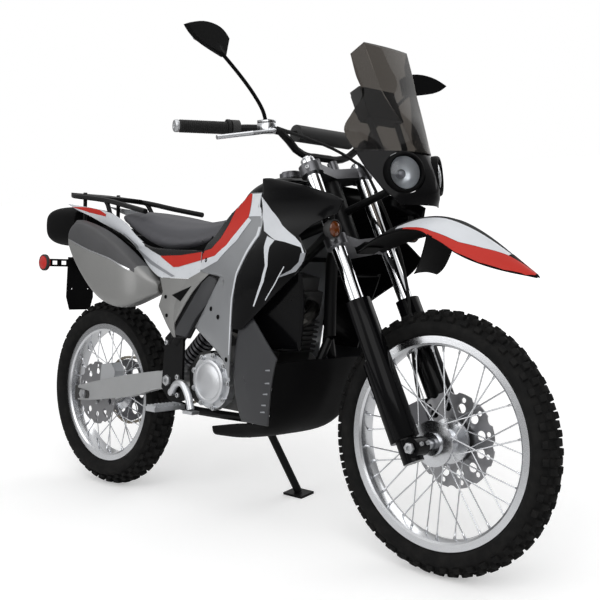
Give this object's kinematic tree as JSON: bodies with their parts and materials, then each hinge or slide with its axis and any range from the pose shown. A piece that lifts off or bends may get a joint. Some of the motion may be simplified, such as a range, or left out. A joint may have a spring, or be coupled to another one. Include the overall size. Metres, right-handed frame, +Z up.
{
  "type": "rally dual-sport motorcycle",
  "caption": "Rally-style dual-sport motorcycle with tall smoked screen, high front mudguard, wire wheels and luggage rack, leaning parked on its side stand.",
  "frame": {"origin": "middle of the parked machine's outer box, on the ground", "axes": "+X forward, +Y to the rider's left, +Z up; the machine leans towards +Y"},
  "size_m": [2.1877, 1.0729, 1.4736],
  "materials": {
    "black_steel": "satin black paint",
    "engine_black": "matt black cast",
    "cast_alloy": "satin cast",
    "dark_alloy": "anodised dark",
    "chrome": "polished",
    "steel": "brushed",
    "black_gloss": "gloss black with pale arrow stripe",
    "silver_panel": "metallic silver grey with red stripe",
    "grey_plastic": "dark grey grained",
    "tail_white": "white and red",
    "black_plastic": "black grained",
    "seat_vinyl": "grey black vinyl",
    "smoked": "smoked clear",
    "lens_clear": "clear lens",
    "lens_red": "red lens",
    "lens_amber": "amber lens",
    "rubber": "black rubber",
    "tyre": "black tread rubber"
  },
  "bodies": {
    "chassis": {"frame": "black_steel", "frame_cradle": "black_steel", "seat_frame": "black_steel", "fairing_stay": "black_steel", "engine": "engine_black", "engine_covers": "cast_alloy", "exhaust_pipe": "steel", "silencer": "cast_alloy", "swingarm": "cast_alloy", "rear_axle": "steel", "rear_shock": "steel", "rear_caliper": "cast_alloy", "chain": "steel", "fuel_tank": "black_gloss", "fuel_cap": "dark_alloy", "seat": "seat_vinyl", "shrouds": "black_gloss", "side_panels": "silver_panel", "lower_cowls": "grey_plastic", "tail_panels": "tail_white", "frame_covers": "cast_alloy", "belly_pan": "black_plastic", "rear_mudguard": "black_plastic", "plate_holder": "black_plastic", "rear_lamps": "lens_red", "luggage_rack": "black_steel", "windscreen": "smoked", "nose_fairing": "black_gloss", "headlamps": "lens_clear", "instrument": "black_plastic", "front_indicators": "lens_amber", "foot_controls": "cast_alloy"},
    "steering": {"triple_clamps": "dark_alloy", "fork_tubes": "chrome", "fork_sliders": "black_steel", "front_axle": "steel", "front_caliper": "dark_alloy", "brake_hose": "rubber", "handlebar": "dark_alloy", "bar_pad": "black_plastic", "grips": "rubber", "hand_controls": "black_plastic", "hand_levers": "cast_alloy", "mirrors": "black_plastic", "front_mudguard": "black_gloss"},
    "front_wheel": {"front_tyre": "tyre", "front_rim": "chrome", "front_hub": "cast_alloy", "front_disc": "steel"},
    "rear_wheel": {"rear_tyre": "tyre", "rear_rim": "chrome", "rear_hub": "cast_alloy", "rear_disc": "steel", "rear_sprocket": "dark_alloy"},
    "side_stand": {"side_stand": "black_steel"}
  },
  "joints": [
    {"name": "steering_turn", "type": "hinge", "parent": "chassis", "child": "steering", "pos_m": [0.3708, -0.06957, 0.93144], "axis": [-0.454, 0.1394, 0.88], "range_deg": [-40, 40]},
    {"name": "front_wheel_spin", "type": "hinge", "parent": "steering", "child": "front_wheel", "pos_m": [0.746, -0.16256, 0.34431], "axis": [0, 0.9877, -0.1564], "continuous": true},
    {"name": "rear_wheel_spin", "type": "hinge", "parent": "chassis", "child": "rear_wheel", "pos_m": [-0.704, -0.16553, 0.32554], "axis": [0, 0.9877, -0.1564], "continuous": true},
    {"name": "side_stand_fold", "type": "hinge", "parent": "chassis", "child": "side_stand", "pos_m": [-0.084, -0.03895, 0.30651], "axis": [0, 0.9659, 0.2588], "range_deg": [0, 95]}
  ]
}
